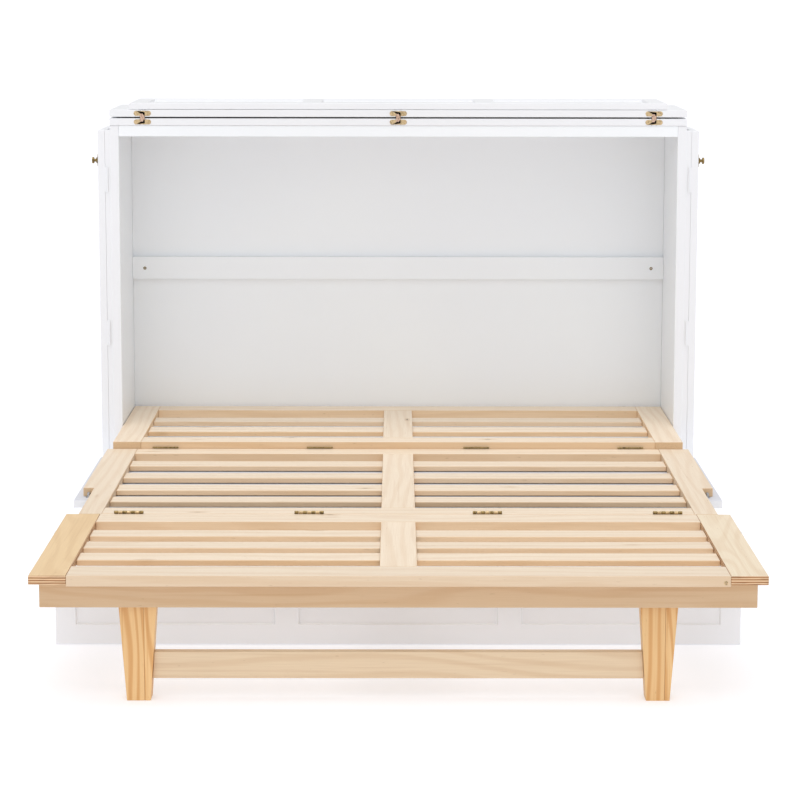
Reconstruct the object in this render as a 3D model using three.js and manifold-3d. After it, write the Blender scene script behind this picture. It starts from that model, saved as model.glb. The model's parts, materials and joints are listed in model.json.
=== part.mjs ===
// A cabinet wall bed, shown with its bed folded down.
// Millimetres, +Z up. The origin is on the floor under the middle of the whole bed:
// +X runs to the right of someone who stands at the foot, and +Y runs to the cabinet's back.
// Depths are measured forwards from the cabinet's back face, and yAt turns them into Y.
import * as THREE from "three";
import { mergeVertices } from "three/addons/utils/BufferGeometryUtils.js";
import Module from "manifold-3d";

const wasm = await Module();
wasm.setup();

// Driving dimensions.
const BED_LENGTH = 2040;
const GAP = 0.3;
const BOARD = 22;
// How far a cutter runs past the face that it leaves by, and how deep glued boards are lapped in the solid.
const PAST = 1;

const CABINET_HALF = 806.5;
const CABINET_SIDE = 25;
const CABINET_DEPTH = 342;
const INNER_HALF = CABINET_HALF - CABINET_SIDE;
const TOP_UNDERSIDE = 1166;
const TOP_THICK = 20;
const TOP_DEPTH = 344;
const BACK_THICK = 12;
const RAIL_THICK = 18;
const BACK_RAIL_Z = [697, 762];
const TOP_RAIL_HEIGHT = 30;

const FLAP_DEPTH = 305;
const FLAP_PIN = { depth: 345.5, z: 1188 };
const FLAP_LIFT = 2;
const FLAP_CLOSED_DEPTH = 347;
const DROP_HALF = 751;
const DROP_PIN_DEPTH = 59;
const DROP_LENGTH = 283;
const DROP_THICK = 18;
const DROP_LIFT = 0.5;

const DOOR_PIN = { x: 813.5, depth: 344 };
const DOOR_OFFSET = 7;
const DOOR_THICK = 20;
const DOOR_LENGTH = 222;
const DOOR_SETBACK = 2;
const DOOR_Z = [10, 1152];
const BATTEN = { outer: 819.5, depth: [296, 341] };

const SLAT_THICK = 13.5;
const SLAT_SINK = 7;
const SLAT_TONGUE = 12;
const CENTRE_HALF = 41;

const FRONT_FACE_HALF = 814;
const PANEL_FRAME = 49;
const PANEL_STILE = 58;
const PANEL_POCKET = 6;

const REAR = {
  half: 780, inner: 704, depth: [24, 594], top: 316,
  rails: [[24, 96], [524, 594]],
  slats: [[178, 246], [327, 405]],
};
const MIDDLE = {
  half: 795, inner: 713, depth: [596, 1421], top: 297, stepHalf: 768, stepDepth: 1117,
  rails: [[596, 666], [1351, 1421]],
  slats: [[732, 803], [893, 960], [1042, 1115], [1189, 1251]],
};
const FRONT = {
  half: 797, inner: 716, depth: [1423, 2040], top: 297, wingThick: 20,
  rails: [[1423, 1508], [1952, 2040]],
  slats: [[1565, 1632], [1684, 1750], [1796, 1867]],
};
const END_RAIL_THICK = 24;

const FACE_PANEL = { depth: [596, 1160], z: [254.5, 274.5] };
const APRON = { half: 780, depth: [1976, 1998], z: [216, 272.7] };

const LEG = {
  depth: [1927, 1972], top: 266, topOuter: 615, topInner: 525, footOuter: 595.5, footInner: 543,
};
const STRETCHER = { depth: [1938, 1960], z: [47, 107] };

const BEARER = { x: [760, 775], depth: [40, 585] };

const DRAWER_FRONT = { depth: [1498, 1518], z: [1.5, 272.5] };
const DRAWER = { half: 748, depth: [978, 1497.7], z: [58, 235], wall: 15, bottom: 12 };
const WHEEL = { radius: 25, width: 20, x: 700, depths: [1030, 1440] };

const PLATE = { width: 48, height: 14, thick: 1.1, slot: 13, slotDeep: 10.5, standoff: 0.2 };
const PLATE_X = [-714, 0, 714];
const LINK = { width: 12.2, length: 30, thick: 1.1, reach: 15.6 };

// Finishes.
function finish(name, color, roughness, metalness = 0) {
  return new THREE.MeshStandardMaterial({ name, color, roughness, metalness });
}
const white = finish("white_lacquer", 0xf2f2f3, 0.45);
const pine = finish("pine", 0xf0e0c8, 0.55);
const wingWood = finish("birch_plywood", 0xe8c694, 0.55);
const apronWood = finish("maple", 0xe1c39b, 0.55);
const legWood = finish("laminated_pine", 0xebc382, 0.55);
const brass = finish("antique_brass", 0x9a7b45, 0.4, 1);
const rubber = finish("grey_rubber", 0x5c5c5e, 0.7);

const yAt = (depth) => BED_LENGTH / 2 - depth;

// A box from its span in X, its span in depth and its span in Z.
function boxGeometry([x0, x1], [d0, d1], [z0, z1]) {
  const geometry = new THREE.BoxGeometry(x1 - x0, d1 - d0, z1 - z0);
  geometry.translate((x0 + x1) / 2, yAt((d0 + d1) / 2), (z0 + z1) / 2);
  return geometry;
}

function toSolid(geometry) {
  const bare = geometry.clone();
  bare.deleteAttribute("normal");
  bare.deleteAttribute("uv");
  const merged = mergeVertices(bare);
  return new wasm.Manifold(new wasm.Mesh({
    numProp: 3,
    vertProperties: new Float32Array(merged.attributes.position.array),
    triVerts: new Uint32Array(merged.index.array),
  }));
}

function toGeometry(solid) {
  const { vertProperties, triVerts } = solid.getMesh();
  const geometry = new THREE.BufferGeometry();
  geometry.setAttribute("position", new THREE.BufferAttribute(vertProperties, 3));
  geometry.setIndex(new THREE.BufferAttribute(triVerts, 1));
  const flat = geometry.toNonIndexed();
  flat.computeVertexNormals();
  return flat;
}

// The geometry with each of the cutters taken away.
function cut(geometry, cutters) {
  const solid = cutters.reduce((left, cutter) => left.subtract(toSolid(cutter)), toSolid(geometry));
  return toGeometry(solid);
}

// Two boards that are glued together, as one body.
function glued(board, batten) {
  return toGeometry(toSolid(board).add(toSolid(batten)));
}

function add(group, name, geometry, material) {
  const mesh = new THREE.Mesh(geometry, material);
  mesh.name = name;
  group.add(mesh);
  return mesh;
}

function addBox(group, name, x, depth, z, material) {
  return add(group, name, boxGeometry(x, depth, z), material);
}

// The same span on the left or on the right of the middle.
function sideSpan(side, inner, outer) {
  return side < 0 ? [-outer, -inner] : [inner, outer];
}
const SIDES = [["left", -1], ["right", 1]];

function group(name) {
  const made = new THREE.Group();
  made.name = name;
  return made;
}

// The room that the slats of a section take, with a hairline round them.
function slatRoom(section) {
  const x = section.inner + SLAT_TONGUE;
  const bottom = section.top - SLAT_SINK - SLAT_THICK;
  const below = bottom - BOARD;
  return section.slats.map(([d0, d1]) => boxGeometry(
    [-x - GAP, x + GAP],
    [d0 - GAP, d1 + GAP],
    [below, bottom + SLAT_THICK + GAP],
  ));
}

// Slats let into the side boards from below, and passing under the centre board.
function addSlats(into, prefix, section) {
  const top = section.top - SLAT_SINK;
  const x = section.inner + SLAT_TONGUE;
  section.slats.forEach((depth, i) => {
    addBox(into, `${prefix}_slat_${i + 1}`, [-x, x], depth, [top - SLAT_THICK, top], pine);
  });
}

function addCentreBoard(into, prefix, section) {
  const depth = [section.rails[0][1] + GAP, section.rails[1][0] - GAP];
  const board = boxGeometry([-CENTRE_HALF, CENTRE_HALF], depth, [section.top - BOARD, section.top]);
  add(into, `${prefix}_centre_board`, cut(board, slatRoom(section)), pine);
}

function addCrossRail(into, name, section, index, thick) {
  const x = section.inner - GAP;
  addBox(into, name, [-x, x], section.rails[index], [section.top - thick, section.top], pine);
}

// Mortises in a board's front edge that give the turning links of the lid's hinges room.
function linkMortises(z) {
  const half = PLATE.slot / 2;
  const depth = [FLAP_PIN.depth - LINK.reach, TOP_DEPTH + PAST];
  return PLATE_X.map((x) => boxGeometry([x - half, x + half], depth, z));
}

function buildCabinet() {
  const cabinet = group("cabinet");
  const wall = INNER_HALF - GAP;
  const sideTop = TOP_UNDERSIDE - GAP;
  for (const [word, side] of SIDES) {
    const x = sideSpan(side, INNER_HALF, CABINET_HALF);
    const board = boxGeometry(x, [0, CABINET_DEPTH], [0, sideTop]);
    const battenX = sideSpan(side, CABINET_HALF - PAST, BATTEN.outer);
    const batten = boxGeometry(battenX, BATTEN.depth, DOOR_Z);
    add(cabinet, `side_${word}`, glued(board, batten), white);
  }
  addBox(cabinet, "back_panel", [-wall, wall], [0, BACK_THICK], [0, sideTop], white);
  const railDepth = [BACK_THICK + GAP, BACK_THICK + GAP + RAIL_THICK];
  addBox(cabinet, "back_rail", [-wall, wall], railDepth, BACK_RAIL_Z, white);
  const z = [TOP_UNDERSIDE, TOP_UNDERSIDE + TOP_THICK];
  const top = boxGeometry([-CABINET_HALF, CABINET_HALF], [0, TOP_DEPTH], z);
  const linkRoom = linkMortises([FLAP_PIN.z - LINK.reach, z[1] + PAST]);
  add(cabinet, "fixed_top", cut(top, linkRoom), white);
  const underTop = [CABINET_DEPTH - RAIL_THICK, CABINET_DEPTH];
  addBox(cabinet, "top_rail", [-wall, wall], underTop, [sideTop - TOP_RAIL_HEIGHT, sideTop], white);
  return cabinet;
}

function buildRearSection() {
  const rear = group("rear_section");
  const z = [REAR.top - BOARD, REAR.top];
  const room = slatRoom(REAR);
  addCrossRail(rear, "rear_head_rail", REAR, 0, END_RAIL_THICK);
  addCrossRail(rear, "rear_joint_rail", REAR, 1, BOARD);
  for (const [word, side] of SIDES) {
    const board = boxGeometry(sideSpan(side, REAR.inner, REAR.half), REAR.depth, z);
    add(rear, `rear_side_board_${word}`, cut(board, room), pine);
    const x = sideSpan(side, ...BEARER.x);
    addBox(rear, `base_bearer_${word}`, x, BEARER.depth, [0, z[0] - GAP], white);
  }
  addCentreBoard(rear, "rear", REAR);
  addSlats(rear, "rear", REAR);
  return rear;
}

// A stadium plate with a slot in one long side for the link, standing on the board's front edge.
function hingePlate(x, z, slotUp) {
  const round = PLATE.height / 2;
  const straight = PLATE.width / 2 - round;
  const outline = new THREE.Shape();
  outline.absarc(straight, 0, round, -Math.PI / 2, Math.PI / 2, false);
  outline.absarc(-straight, 0, round, Math.PI / 2, 1.5 * Math.PI, false);
  const options = { depth: PLATE.thick, bevelEnabled: false, curveSegments: 8 };
  const plate = new THREE.ExtrudeGeometry(outline, options);
  plate.rotateX(Math.PI / 2);
  const back = TOP_DEPTH + PLATE.standoff;
  plate.translate(x, yAt(back), z);
  const mouth = z + slotUp * round;
  const end = mouth - slotUp * PLATE.slotDeep;
  const slot = boxGeometry(
    [x - PLATE.slot / 2, x + PLATE.slot / 2],
    [back - PAST, back + PLATE.thick + PAST],
    slotUp > 0 ? [end, mouth + PAST] : [mouth - PAST, end],
  );
  return cut(plate, [slot]);
}

function buildFlap() {
  const flap = group("top_flap_group");
  const bottom = FLAP_PIN.z + FLAP_LIFT;
  const front = 2 * FLAP_PIN.depth - FLAP_CLOSED_DEPTH;
  const depth = [front - FLAP_DEPTH, front];
  const z = [bottom, bottom + TOP_THICK];
  const lid = boxGeometry([-CABINET_HALF, CABINET_HALF], depth, z);
  add(flap, "top_flap", cut(lid, linkMortises([z[0] - PAST, FLAP_PIN.z + LINK.reach])), white);
  const dropBottom = z[1] + DROP_LIFT;
  const dropDepth = [DROP_PIN_DEPTH, DROP_PIN_DEPTH + DROP_LENGTH];
  const dropZ = [dropBottom, dropBottom + DROP_THICK];
  const panel = boxGeometry([-DROP_HALF, DROP_HALF], dropDepth, dropZ);
  const pocketZ = [dropZ[1] - PANEL_POCKET, dropZ[1] + PAST];
  const pockets = panelPockets(DROP_HALF, insideFrame(dropDepth), pocketZ);
  add(flap, "drop_panel", cut(panel, pockets), white);
  PLATE_X.forEach((x, i) => {
    const n = i + 1;
    const lower = TOP_UNDERSIDE + TOP_THICK / 2;
    add(flap, `flip_hinge_fixed_plate_${n}`, hingePlate(x, lower, 1), brass);
    add(flap, `flip_hinge_flap_plate_${n}`, hingePlate(x, 2 * FLAP_PIN.z - lower, -1), brass);
    const linkX = [x - LINK.width / 2, x + LINK.width / 2];
    const linkBack = TOP_DEPTH + PLATE.standoff;
    const linkDepth = [linkBack, linkBack + LINK.thick];
    const linkZ = [FLAP_PIN.z - LINK.length / 2, FLAP_PIN.z + LINK.length / 2];
    addBox(flap, `flip_hinge_link_${n}`, linkX, linkDepth, linkZ, brass);
  });
  return flap;
}

const insideFrame = ([start, end]) => [start + PANEL_FRAME, end - PANEL_FRAME];

// Cutters for three equal sunk fields in a framed panel, spanning depth and Z as given.
function panelPockets(half, depth, z) {
  const clear = (2 * (half - PANEL_FRAME) - 2 * PANEL_STILE) / 3;
  return [0, 1, 2].map((i) => {
    const start = -half + PANEL_FRAME + i * (clear + PANEL_STILE);
    return boxGeometry([start, start + clear], depth, z);
  });
}

function buildDoors() {
  const doors = group("side_doors");
  for (const [word, side] of SIDES) {
    const near = DOOR_PIN.x + DOOR_OFFSET;
    const x = sideSpan(side, near, near + DOOR_THICK);
    const front = DOOR_PIN.depth - DOOR_SETBACK;
    const depth = [front - DOOR_LENGTH, front];
    addBox(doors, `door_${word}`, x, depth, DOOR_Z, white);
  }
  return doors;
}

function buildMiddleSection() {
  const middle = group("middle_section");
  const z = [MIDDLE.top - BOARD, MIDDLE.top];
  const room = slatRoom(MIDDLE);
  addCrossRail(middle, "middle_rear_rail", MIDDLE, 0, BOARD);
  addCrossRail(middle, "middle_front_rail", MIDDLE, 1, BOARD);
  for (const [word, side] of SIDES) {
    const board = boxGeometry(sideSpan(side, MIDDLE.inner, MIDDLE.half), MIDDLE.depth, z);
    const step = boxGeometry(
      sideSpan(side, MIDDLE.stepHalf, MIDDLE.half + PAST),
      [MIDDLE.stepDepth, MIDDLE.depth[1] + PAST],
      [z[0] - PAST, z[1] + PAST],
    );
    add(middle, `middle_side_board_${word}`, cut(board, [...room, step]), pine);
  }
  addCentreBoard(middle, "middle", MIDDLE);
  addSlats(middle, "middle", MIDDLE);
  const half = FRONT_FACE_HALF;
  const panel = boxGeometry([-half, half], FACE_PANEL.depth, FACE_PANEL.z);
  const pocketZ = [FACE_PANEL.z[0] - PAST, FACE_PANEL.z[0] + PANEL_POCKET];
  const pockets = panelPockets(half, insideFrame(FACE_PANEL.depth), pocketZ);
  add(middle, "face_panel", cut(panel, pockets), white);
  return middle;
}

function buildFrontSection() {
  const front = group("front_section");
  const room = slatRoom(FRONT);
  addCrossRail(front, "front_joint_rail", FRONT, 0, BOARD);
  addCrossRail(front, "foot_rail", FRONT, 1, END_RAIL_THICK);
  for (const [word, side] of SIDES) {
    const z = [FRONT.top - FRONT.wingThick, FRONT.top];
    const board = boxGeometry(sideSpan(side, FRONT.inner, FRONT.half), FRONT.depth, z);
    add(front, `wing_board_${word}`, cut(board, room), wingWood);
  }
  addCentreBoard(front, "front", FRONT);
  addSlats(front, "front", FRONT);
  addBox(front, "apron", [-APRON.half, APRON.half], APRON.depth, APRON.z, apronWood);
  return front;
}

// A flat outline in X and Z, made thick along depth.
function slabFromOutline(points, [d0, d1]) {
  const shape = new THREE.Shape(points.map(([x, z]) => new THREE.Vector2(x, z)));
  const slab = new THREE.ExtrudeGeometry(shape, { depth: d1 - d0, bevelEnabled: false });
  slab.rotateX(Math.PI / 2);
  slab.translate(0, yAt(d0), 0);
  return slab;
}

function buildLegFrame() {
  const frame = group("leg_frame");
  for (const [word, side] of SIDES) {
    const points = [
      [side * LEG.footInner, 0],
      [side * LEG.footOuter, 0],
      [side * LEG.topOuter, LEG.top],
      [side * LEG.topInner, LEG.top],
    ];
    const outline = side > 0 ? points : points.reverse();
    add(frame, `leg_${word}`, slabFromOutline(outline, LEG.depth), legWood);
  }
  const reach = (z) => THREE.MathUtils.lerp(LEG.footInner, LEG.topInner, z / LEG.top) - GAP;
  const [low, high] = STRETCHER.z;
  const outline = [
    [-reach(low), low],
    [reach(low), low],
    [reach(high), high],
    [-reach(high), high],
  ];
  add(frame, "stretcher", slabFromOutline(outline, STRETCHER.depth), apronWood);
  return frame;
}

function buildDrawer() {
  const drawer = group("drawer");
  const { half, depth, z, wall, bottom } = DRAWER;
  const face = boxGeometry(
    [-FRONT_FACE_HALF, FRONT_FACE_HALF],
    DRAWER_FRONT.depth,
    DRAWER_FRONT.z,
  );
  const outer = DRAWER_FRONT.depth[1];
  const pocketDepth = [outer - PANEL_POCKET, outer + PAST];
  const pockets = panelPockets(FRONT_FACE_HALF, pocketDepth, insideFrame(DRAWER_FRONT.z));
  add(drawer, "drawer_front", cut(face, pockets), white);
  for (const [word, side] of SIDES) {
    addBox(drawer, `drawer_side_${word}`, sideSpan(side, half - wall, half), depth, z, white);
  }
  const inner = half - wall - GAP;
  const back = [depth[0], depth[0] + wall];
  addBox(drawer, "drawer_back", [-inner, inner], back, z, white);
  const floor = [back[1] + GAP, depth[1]];
  addBox(drawer, "drawer_bottom", [-inner, inner], floor, [z[0], z[0] + bottom], white);
  addWheels(drawer);
  return drawer;
}

function addWheels(into) {
  WHEEL.depths.forEach((depth, row) => {
    for (const [word, side] of SIDES) {
      const tyre = new THREE.CylinderGeometry(WHEEL.radius, WHEEL.radius, WHEEL.width, 32);
      tyre.rotateZ(Math.PI / 2);
      const where = row === 0 ? "back" : "front";
      const wheel = add(into, `drawer_wheel_${where}_${word}`, tyre, rubber);
      wheel.position.set(side * WHEEL.x, yAt(depth), WHEEL.radius);
    }
  });
}

const bed = group("wall_bed");
bed.add(buildCabinet(), buildRearSection(), buildFlap(), buildDoors());
bed.add(buildMiddleSection(), buildFrontSection(), buildLegFrame(), buildDrawer());

export default bed;
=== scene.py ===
"""A cabinet wall bed, folded down, in its finished woods, lacquer and metal fittings.

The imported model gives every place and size. Each wooden or lacquered piece here takes the place of one
plain solid, and the fittings ride on the body that they are screwed to.
"""

import json
import math
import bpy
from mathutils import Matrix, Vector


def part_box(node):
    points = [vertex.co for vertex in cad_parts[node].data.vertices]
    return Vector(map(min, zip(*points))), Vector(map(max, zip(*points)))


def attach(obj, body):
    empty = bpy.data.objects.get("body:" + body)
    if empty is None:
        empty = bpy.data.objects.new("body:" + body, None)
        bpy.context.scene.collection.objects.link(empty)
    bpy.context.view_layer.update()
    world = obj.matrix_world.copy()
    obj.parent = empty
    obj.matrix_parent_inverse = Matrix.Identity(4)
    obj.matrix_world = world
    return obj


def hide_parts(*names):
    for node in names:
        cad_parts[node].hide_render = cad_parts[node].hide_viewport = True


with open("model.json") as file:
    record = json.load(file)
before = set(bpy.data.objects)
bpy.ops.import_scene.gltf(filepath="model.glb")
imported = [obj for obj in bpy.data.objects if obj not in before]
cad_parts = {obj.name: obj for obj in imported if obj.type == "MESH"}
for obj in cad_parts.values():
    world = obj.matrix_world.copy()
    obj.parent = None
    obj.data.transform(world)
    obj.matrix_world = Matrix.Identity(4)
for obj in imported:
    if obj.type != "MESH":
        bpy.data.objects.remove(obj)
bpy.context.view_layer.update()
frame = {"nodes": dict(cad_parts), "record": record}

import zlib

import bmesh
import bpy
import numpy as np
from mathutils import Matrix

bl_info = {
    "name": "Cabinet wall bed",
    "version": (1, 0, 0),
    "blender": (4, 5, 0),
    "location": "View3D > Sidebar > Wall bed",
    "description": "Builds the finished pieces of a cabinet wall bed round its packed frame",
    "category": "Add Mesh",
}

MM = 0.001
X, Y, Z = 0, 1, 2
BODY_OF = {name: body for body, names in frame["record"]["behaviour"]["bodies"].items() for name in names}
JOINTS = {joint["name"]: joint for joint in frame["record"]["behaviour"]["joints"]}
SIDES = (("left", -1), ("right", 1))
CROSS_AXES = ((Y, Z), (Z, X), (X, Y))
LID_HINGES = (1, 2, 3)


def linear(hex_colour):
    """Turns an sRGB hex colour into the linear colour that the shaders read."""
    values = [int(hex_colour[i:i + 2], 16) / 255 for i in (0, 2, 4)]
    return [v / 12.92 if v <= 0.04045 else ((v + 0.055) / 1.055) ** 2.4 for v in values]


def low_high(node):
    """The lowest and the highest corner of a node of the frame, as arrays."""
    low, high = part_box(node)
    return np.array(low), np.array(high)


def points_of(mesh):
    """A mesh's points as an array with a row for each."""
    place = np.empty(len(mesh.vertices) * 3)
    mesh.vertices.foreach_get("co", place)
    return place.reshape(-1, 3)


def unit(rows):
    """Each row of an array as a vector of length one."""
    return rows / np.linalg.norm(rows, axis=1)[:, None]


def seeded(name):
    """A random generator that gives the same draws for the same name each time."""
    return np.random.default_rng(zlib.crc32(name.encode()))


# ---------------------------------------------------------------- settings

def length(name, description, default):
    """A size in metres that the user may change."""
    return bpy.props.FloatProperty(name=name, description=description, default=default, unit="LENGTH", min=0)


def colour(name, description, hex_colour):
    """A colour that the user may change."""
    return bpy.props.FloatVectorProperty(
        name=name, description=description, default=linear(hex_colour), subtype="COLOR", size=3, min=0, max=1)


class WallBedSizes(bpy.types.PropertyGroup):
    """Sizes of the finish and the fittings, which the frame doesn't hold."""
    lacquer_ease: length("Lacquered edge", "Radius of the edges of the lacquered boards", 1.6 * MM)
    wood_ease: length("Wood edge", "Radius of the edges of the rails and side boards", 1.5 * MM)
    slat_ease: length("Slat edge", "Radius of the edges of the slats", 2.5 * MM)
    panel_frame: length("Panel frame", "Width of the frame round a panel's sunk fields", 49 * MM)
    panel_stile: length("Panel stile", "Width of the stiles between a panel's sunk fields", 58 * MM)
    panel_pocket: length("Panel depth", "How deep a panel's fields are sunk", 6 * MM)
    hinge_length: length("Butt hinge", "Length of a butt hinge of the deck or of a door", 71 * MM)
    hinge_radius: length("Hinge barrel", "Radius of a front joint hinge's barrel", 3.6 * MM)
    small_hinge_radius: length("Small barrel", "Radius of a rear joint hinge's barrel", 1.9 * MM)
    door_hinge_radius: length("Door hinge barrel", "Radius of a door hinge's barrel", 1.9 * MM)
    batten_setback: length("Batten setback", "How far the batten stands behind its side's front edge", 1 * MM)
    screw_radius: length("Screw head", "Radius of a screw head", 4.6 * MM)
    knob_radius: length("Catch knob", "Radius of the knob of a door's catch", 9 * MM)


class WallBedColours(bpy.types.PropertyGroup):
    """Colours of the finishes, as the eye sees them in even light."""
    lacquer: colour("White lacquer", "Sprayed cool white lacquer", "f2f3f6")
    # Painted light: the inside's lacquer is brighter and cooler than the outer one, to lift the cabinet's
    # shaded inside and cancel its warm bounce.
    painted_light_tint: colour("Inner lacquer", "Matt white lacquer of the cabinet's inside", "f8fbff")
    # A greyer lacquer for the upper face of the deck panel, whose ends show past the side boards.
    upper_grey_tint: colour("Grey primer", "Primer on the back of the deck panel", "d8dae2")
    pine: colour("Pine", "Planed face of the slats, rails and side boards", "f2e1ca")
    pine_edge: colour("Pine edge", "Sawn edges of the slats and rails", "edcba2")
    pine_figure: colour("Pine figure", "Late wood, streaks and knots of the pine", "c99c66")
    plywood: colour("Plywood", "Face veneer of the left wing board", "edcfa2")
    pale_plywood: colour("Pale plywood", "Face veneer of the right wing board, from a paler sheet", "f2e2c8")
    ply_edge: colour("Plywood edge", "Dark layers at the plywood's edges", "a8703f")
    maple: colour("Maple", "Face of the stretcher", "ead2b1")
    # Painted shade: the apron's colour is the maple darkened to stand for the shadow that the foot rail casts
    # over it.
    apron_shade_tint: colour("Birch", "Face of the apron", "d6b792")
    maple_figure: colour("Maple figure", "Darker streaks of the apron and the stretcher", "c59c6f")
    leg_pine: colour("Leg pine", "Face of the laminated legs", "eec58c")
    leg_figure: colour("Leg figure", "Late wood of the legs", "cf8f48")
    brass: colour("Satin brass", "Plates of the lid's hinges, and pale screws", "d6bd94")
    old_brass: colour("Antique brass", "Aged brass of the deck's hinges and the catches", "9a8458")
    copper: colour("Copper", "Turning links of the lid's hinges", "dcbca6")
    steel: colour("Zinc-plated steel", "Pressed steel of the casters and brackets", "b4b4b6")
    rubber: colour("Grey rubber", "Tread of the casters", "59595c")
    floor: colour("Studio floor", "Plain seamless paper", "dadadf")


# ---------------------------------------------------------------- shapes

EASE_STEPS = 3
LEAST_EASE = 0.01 * MM
PANEL_FIELDS = 3


def rounded_outline(points, radius):
    """A closed outline with each corner turned into an arc.

    At each corner the arc starts and ends at radius times the cotangent of half the corner's angle from it,
    and its points are spread evenly by angle about the arc's centre.
    """
    points = np.asarray(points, float)
    before = unit(np.roll(points, 1, 0) - points)
    after = unit(np.roll(points, -1, 0) - points)
    half = np.arccos(np.clip((before * after).sum(1), -1, 1)) / 2
    centre = points + unit(before + after) * (radius / np.sin(half))[:, None]
    start = points + before * (radius / np.tan(half))[:, None] - centre
    end = points + after * (radius / np.tan(half))[:, None] - centre
    first = np.arctan2(start[:, 1], start[:, 0])
    turn = np.arctan2(end[:, 1], end[:, 0]) - first
    turn = (turn + math.pi) % (2 * math.pi) - math.pi
    share = np.linspace(0, 1, EASE_STEPS + 1)
    angle = first[:, None] + turn[:, None] * share
    arcs = centre[:, None] + radius * np.stack([np.cos(angle), np.sin(angle)], -1)
    return arcs.reshape(-1, 2)


def inset(outline, distance):
    """Moves each point of a closed outline inwards by the mitre of its two sides."""
    before = unit(outline - np.roll(outline, 1, 0))
    after = unit(np.roll(outline, -1, 0) - outline)
    normal_before = np.stack([-before[:, 1], before[:, 0]], -1)
    normal_after = np.stack([-after[:, 1], after[:, 0]], -1)
    mitre = normal_before + normal_after
    mitre /= (1 + (normal_before * normal_after).sum(1))[:, None]
    return outline + mitre * distance


def slab(outline, low, high, ease, axis):
    """A board of any outline: the outline swept along axis from low to high, with quarter-round edges.

    Each ring stands inside its face by ease times one minus the sine of its angle, and is drawn in by ease
    times one minus the cosine, so that the faces meet the sides in a quarter circle. An outline that runs
    clockwise is turned round first, and the ease never takes up more than the board's thickness.
    """
    outline = np.asarray(outline, float)
    crossed = outline * np.roll(outline, -1, 0)[:, ::-1]
    if (crossed[:, 0] - crossed[:, 1]).sum() < 0:
        outline = outline[::-1]
    ease = max(min(ease, (high - low) / 2.2), LEAST_EASE)
    outline = rounded_outline(outline, ease)
    angles = np.linspace(math.pi / 2, 0, EASE_STEPS + 1)
    rise = ease * (1 - np.sin(angles))
    draw = ease * (1 - np.cos(angles)) * 0.999
    heights = np.concatenate([low + rise, high - rise[::-1]])
    rings = np.array([inset(outline, distance) for distance in (*draw, *draw[::-1])])
    count = len(outline)
    verts = np.empty((len(heights), count, 3))
    first, second = CROSS_AXES[axis]
    verts[..., first] = rings[..., 0]
    verts[..., second] = rings[..., 1]
    verts[..., axis] = heights[:, None]
    last = (len(heights) - 1) * count
    caps = [list(range(count))[::-1], list(range(last, last + count))]
    return verts.reshape(-1, 3), grid_faces(len(heights), count, closed=True) + caps


def grid_faces(rows, columns, closed=False):
    """The quads between neighbouring rows and columns of a grid, whose rows may close on themselves."""
    i, j = np.meshgrid(np.arange(rows - 1), np.arange(columns - (not closed)), indexing="ij")
    down, right = i + 1, (j + 1) % columns
    corners = [i * columns + j, i * columns + right, down * columns + right, down * columns + j]
    return np.stack(corners, -1).reshape(-1, 4).tolist()


def box_slab(low, high, ease):
    """A plain board between two corners, swept along its thinnest side."""
    axis = int(np.argmin(high - low))
    first, second = CROSS_AXES[axis]
    outline = [(low[first], low[second]), (high[first], low[second]),
               (high[first], high[second]), (low[first], high[second])]
    return slab(outline, low[axis], high[axis], ease, axis)


def framed_panel(low, high, face_axis, outward, sizes):
    """A board with sunk fields in one face, drawn as a height over a grid of lines.

    The grid's lines crowd round each edge. The outer edge falls away as a quarter circle of radius ease, and
    a field sinks by pocket along a half cosine across twice ease. The back is the same grid with no fields.
    """
    ease, pocket = sizes.lacquer_ease, sizes.panel_pocket
    first, second = [axis for axis in (X, Y, Z) if axis != face_axis]
    u, u_steps = panel_lines(low[first], high[first], sizes, PANEL_FIELDS)
    v, v_steps = panel_lines(low[second], high[second], sizes, 1)
    outer = np.minimum(edge_fall(u, ease)[:, None], edge_fall(v, ease)[None, :])
    sunk = pocket * field_share(u, u_steps, ease)[:, None] * field_share(v, v_steps, ease)[None, :]
    bottom, top = (low, high) if outward > 0 else (high, low)
    rows, columns = len(u), len(v)
    verts = np.empty((2, rows, columns, 3))
    verts[..., first] = u[None, :, None]
    verts[..., second] = v[None, None, :]
    verts[0, ..., face_axis] = top[face_axis] - outward * (ease - outer + sunk)
    verts[1, ..., face_axis] = bottom[face_axis] + outward * (ease - outer)
    faces = np.array(grid_faces(rows, columns))
    under = faces[:, ::-1] + rows * columns
    rim = np.concatenate([
        np.arange(columns), np.arange(1, rows) * columns + columns - 1,
        (rows - 1) * columns + np.arange(columns - 2, -1, -1), np.arange(rows - 2, 0, -1) * columns])
    after = np.roll(rim, -1)
    wall = np.stack([after, rim, rim + rows * columns, after + rows * columns], -1)
    return verts.reshape(-1, 3), faces.tolist() + under.tolist() + wall.tolist()


def panel_lines(start, end, sizes, fields):
    """The grid lines across a framed panel, and the starts and ends of its fields."""
    ease = sizes.lacquer_ease
    clear = (end - start - 2 * sizes.panel_frame - (fields - 1) * sizes.panel_stile) / fields
    starts = start + sizes.panel_frame + np.arange(fields) * (clear + sizes.panel_stile)
    steps = np.stack([starts, starts + clear], -1).ravel()
    round_edge = ease * (1 - np.cos(np.linspace(0, math.pi / 2, 5)))
    slope = np.linspace(-ease, ease, 7)
    lines = [start + round_edge, end - round_edge, (steps[:, None] + slope).ravel()]
    return np.unique(np.round(np.concatenate(lines), 7)), steps


def edge_fall(lines, ease):
    """How high a quarter-round edge stands over each line: nothing at the rim and ease once past it."""
    inside = np.clip(np.minimum(lines - lines[0], lines[-1] - lines), 0, ease)
    return np.sqrt(np.maximum(ease ** 2 - (ease - inside) ** 2, 0))


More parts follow.
